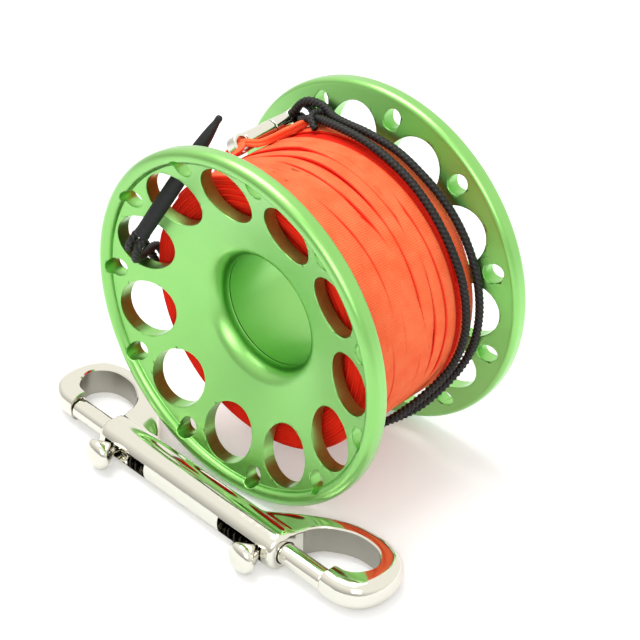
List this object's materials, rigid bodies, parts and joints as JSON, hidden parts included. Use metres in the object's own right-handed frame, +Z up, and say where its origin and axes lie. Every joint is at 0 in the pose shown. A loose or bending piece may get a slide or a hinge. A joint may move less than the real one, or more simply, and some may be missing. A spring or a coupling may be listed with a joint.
{
  "type": "dive spool",
  "caption": "Divers' finger spool with drilled dished flanges, flat line wound on it, a swivel and leash cord with a soft toggle, and a double-ended bolt snap lying in front.",
  "frame": {"origin": "middle of the whole object's footprint, on the surface that the flanges and the snap stand on", "axes": "+Z up; the spool's axis lies along Y with the front flange toward -Y; +X to the right, close to the snap's length"},
  "size_m": [0.1166, 0.0786, 0.09],
  "materials": {
    "anodised_green": "satin green anodised",
    "line_orange": "flat braided synthetic line",
    "polished_steel": "polished stainless steel",
    "cord_black": "black braided cord",
    "toggle_black": "soft matt black"
  },
  "bodies": {
    "spool": {"front_flange": "anodised_green", "rear_flange": "anodised_green", "hub_tube": "anodised_green", "line_core": "line_orange", "line_outer_turns": "line_orange", "swivel_line_eye": "polished_steel", "leash_cord": "cord_black"},
    "swivel_end": {"swivel_cord_eye": "polished_steel", "swivel_rivet": "polished_steel"},
    "toggle": {"toggle": "toggle_black"},
    "snap": {"snap_body": "polished_steel", "snap_spring_left": "polished_steel", "snap_spring_right": "polished_steel"},
    "gate_left": {"snap_gate_left": "polished_steel", "snap_knob_left": "polished_steel"},
    "gate_right": {"snap_gate_right": "polished_steel", "snap_knob_right": "polished_steel"}
  },
  "joints": [
    {"name": "swivel_turn", "type": "hinge", "parent": "spool", "child": "swivel_end", "pos_m": [-0.02213, 0.02384, 0.07502], "axis": [0, 1, 0], "range_deg": [-12, 12]},
    {"name": "toggle_slack", "type": "slide", "parent": "spool", "child": "toggle", "axis": [0.2812, 0.5153, 0.8095], "range_m": [0, 0.004]},
    {"name": "snap_away", "type": "slide", "parent": "spool", "child": "snap", "axis": [0, -1, 0], "range_m": [0, 0.06]},
    {"name": "gate_left_slide", "type": "slide", "parent": "snap", "child": "gate_left", "axis": [0.9962, -0.0872, 0], "range_m": [0, 0.011], "stiffness_N_per_m": 300, "springref_m": -0.004, "deforming": ["snap_spring_left"]},
    {"name": "gate_right_slide", "type": "slide", "parent": "snap", "child": "gate_right", "axis": [-0.9962, 0.0872, 0], "range_m": [0, 0.011], "stiffness_N_per_m": 300, "springref_m": -0.004, "deforming": ["snap_spring_right"]}
  ]
}
